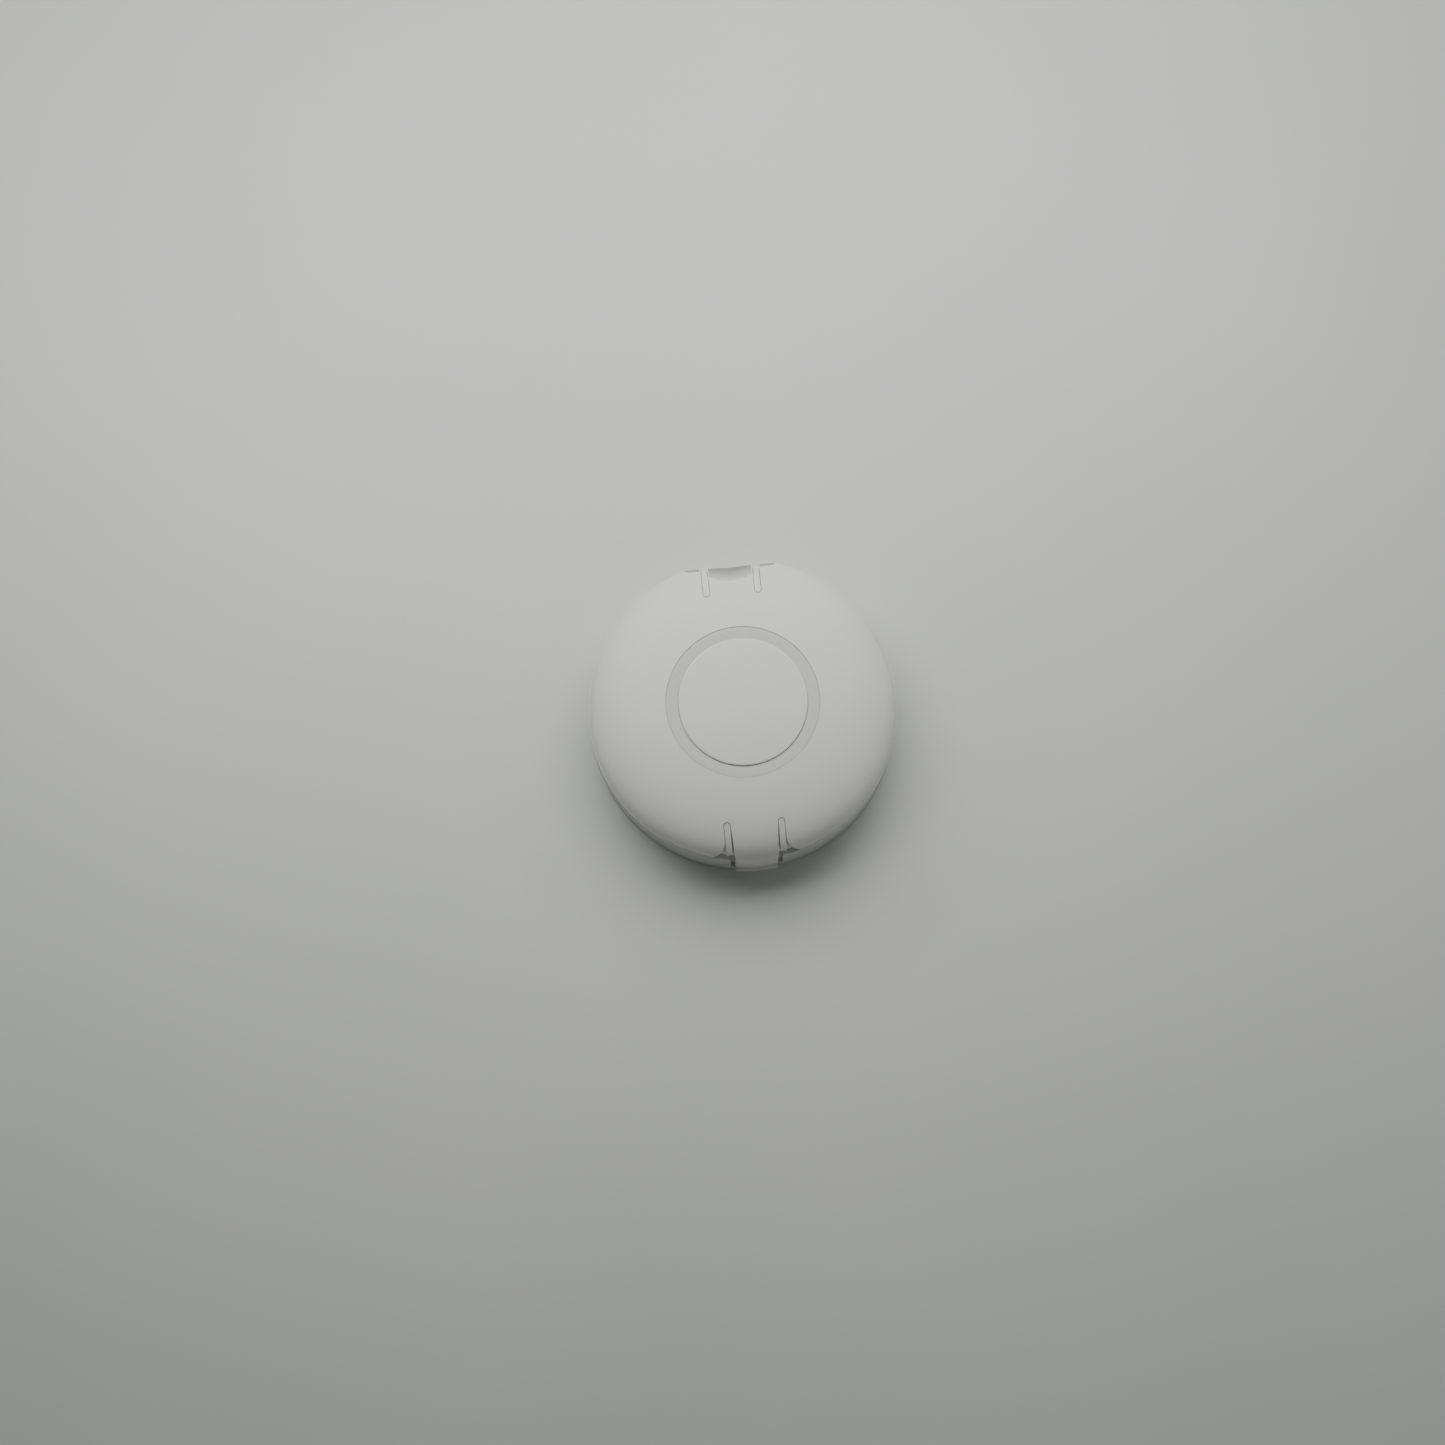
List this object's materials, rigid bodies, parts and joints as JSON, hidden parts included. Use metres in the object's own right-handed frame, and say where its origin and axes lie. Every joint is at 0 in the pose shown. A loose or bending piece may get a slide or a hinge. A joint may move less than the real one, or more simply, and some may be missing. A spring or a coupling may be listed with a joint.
{
  "type": "ceiling access point",
  "caption": "Compact round ceiling access point: domed cover with a light ring and blank centre disc, hinged and snapped over a base tray with a twist-on mounting plate.",
  "frame": {"origin": "middle of the mounting plate's ceiling face, level with the base's rim, on the surface the access point lies on", "axes": "+Z out of the ceiling face and up through the dome, +Y towards the cover's hinge, -Y towards the latch tongue, +X completes the right-handed frame"},
  "size_m": [0.12, 0.1189, 0.0375],
  "materials": {
    "shell_white": "matte",
    "light_guide": "frosted",
    "inner_plastic": "matte",
    "solder_mask": "satin",
    "chip_epoxy": "matte",
    "black_plastic": "satin",
    "tinplate": "satin",
    "steel": "bright",
    "aluminium": "satin",
    "gold_brass": "plated",
    "pad_silicone": "matte",
    "lead_jacket": "satin"
  },
  "bodies": {
    "base": {"base_tray": "shell_white", "hinge_pin": "steel", "main_board": "solder_mask", "board_screw_1": "steel", "board_screw_2": "steel", "board_screw_3": "steel", "board_screw_4": "steel", "jack_shell": "tinplate", "jack_insert": "black_plastic", "processor": "chip_epoxy", "memory_chip": "chip_epoxy", "flash_chip": "chip_epoxy", "shield_can_left": "tinplate", "shield_can_right": "tinplate", "lan_transformer": "black_plastic", "power_inductor_front": "chip_epoxy", "power_inductor_rear": "chip_epoxy", "capacitor_1": "aluminium", "capacitor_2": "aluminium", "capacitor_3": "aluminium", "status_led_1": "light_guide", "status_led_2": "light_guide", "status_led_3": "light_guide", "thermal_pad": "pad_silicone", "heat_spreader": "aluminium", "reset_switch": "black_plastic", "antenna_right": "gold_brass", "coax_socket_right": "gold_brass", "antenna_lead_right": "lead_jacket", "antenna_left": "gold_brass", "coax_socket_left": "gold_brass", "antenna_lead_left": "lead_jacket", "antenna_front_right": "gold_brass", "coax_socket_front_right": "gold_brass", "antenna_lead_front_right": "lead_jacket", "antenna_front_left": "gold_brass", "coax_socket_front_left": "gold_brass", "antenna_lead_front_left": "lead_jacket"},
    "cover": {"dome_cover": "shell_white", "light_ring": "light_guide", "center_disc": "shell_white", "front_slot_shield": "shell_white", "rear_slot_shield": "shell_white", "disc_screw": "steel"},
    "latch": {"latch_tongue": "shell_white"},
    "mounting_plate": {"mounting_plate": "inner_plastic"},
    "reset_button": {"reset_button": "inner_plastic"}
  },
  "joints": [
    {"name": "cover_hinge", "type": "hinge", "parent": "base", "child": "cover", "pos_m": [0, 0.0557, 0.0176], "axis": [-1, 0, 0], "range_deg": [0, 105]},
    {"name": "tongue_flex", "type": "hinge", "parent": "cover", "child": "latch", "pos_m": [0, -0.0461, 0.0317], "axis": [-1, 0, 0], "range_deg": [0, 6], "stiffness_Nm_per_rad": 0.5},
    {"name": "plate_twist", "type": "hinge", "parent": "base", "child": "mounting_plate", "pos_m": [0, 0, 0], "axis": [0, 0, 1], "range_deg": [0, 15]},
    {"name": "reset_press", "type": "slide", "parent": "base", "child": "reset_button", "axis": [0, 0, 1], "range_m": [0, 0.0004], "stiffness_N_per_m": 400}
  ]
}
